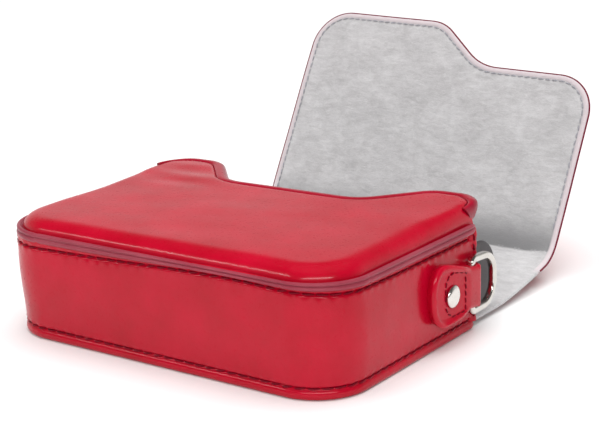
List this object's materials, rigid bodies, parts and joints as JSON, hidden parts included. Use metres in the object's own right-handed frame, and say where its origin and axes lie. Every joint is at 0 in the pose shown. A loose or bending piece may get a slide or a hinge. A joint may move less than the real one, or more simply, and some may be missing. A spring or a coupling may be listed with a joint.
{
  "type": "camera ever ready case",
  "caption": "Padded leather ever ready case for a compact camera, lying on its back, with a hinged flap on two folds, piped edges and swinging strap rings.",
  "frame": {"origin": "centre of the back's flat outer face, which the case lies on", "axes": "+X to the case's right, +Y from its bottom to its opening, +Z from the back up to the padded front"},
  "size_m": [0.1298, 0.1732, 0.0753],
  "materials": {
    "red_leather": "glossy fine-grain red leather",
    "piping_leather": "satin muted rose leather",
    "ear_leather": "smooth satin charcoal leather",
    "microfibre": "short napped light grey microfibre",
    "stiffener": "matte fibreboard",
    "foam": "soft open-cell padding",
    "thread_red": "dark maroon waxed thread",
    "thread_grey": "grey thread",
    "ring_metal": "polished nickel plate",
    "rivet_metal": "polished nickel plate",
    "closure_iron": "plain magnet and keeper discs"
  },
  "bodies": {
    "case": {"back_leather": "red_leather", "back_welt": "piping_leather", "back_board": "stiffener", "back_lining": "microfibre", "wall_leather": "red_leather", "wall_board": "stiffener", "wall_lining": "microfibre", "wall_binding_right": "red_leather", "wall_binding_left": "red_leather", "side_ear_right": "ear_leather", "side_ear_left": "ear_leather", "strap_tab_right": "red_leather", "strap_tab_left": "red_leather", "rivet_right": "rivet_metal", "rivet_left": "rivet_metal", "rivet_base_right": "rivet_metal", "rivet_base_left": "rivet_metal", "tab_thread_right": "thread_red", "tab_thread_left": "thread_red", "front_piping": "piping_leather", "keeper_left": "closure_iron", "keeper_right": "closure_iron", "front_lining": "microfibre", "front_board": "stiffener", "front_foam": "foam", "front_leather": "red_leather", "front_collar": "red_leather", "back_seam_thread": "thread_red", "front_seam_thread": "thread_red"},
    "flap_top": {"strip_lining": "microfibre", "strip_board": "stiffener", "strip_leather": "red_leather"},
    "flap_front": {"flap_lining": "microfibre", "flap_board": "stiffener", "flap_leather": "red_leather", "flap_magnet_left": "closure_iron", "flap_magnet_right": "closure_iron", "flap_thread": "thread_grey"},
    "ring_right": {"d_ring_right": "ring_metal"},
    "ring_left": {"d_ring_left": "ring_metal"}
  },
  "joints": [
    {"name": "strip_fold", "type": "hinge", "parent": "case", "child": "flap_top", "pos_m": [0, 0.0575, 0.0026], "axis": [1, 0, 0], "range_deg": [-7, 82]},
    {"name": "flap_fold", "type": "hinge", "parent": "flap_top", "child": "flap_front", "pos_m": [0, 0.09317, 0.00742], "axis": [1, 0, 0], "range_deg": [-50, 37]},
    {"name": "ring_right_swing", "type": "hinge", "parent": "case", "child": "ring_right", "pos_m": [0.0614, 0.0305, 0.0155], "axis": [0, 0, 1], "range_deg": [-120, 3]},
    {"name": "ring_left_swing", "type": "hinge", "parent": "case", "child": "ring_left", "pos_m": [-0.0614, 0.0305, 0.0155], "axis": [0, 0, -1], "range_deg": [-120, 3]}
  ]
}
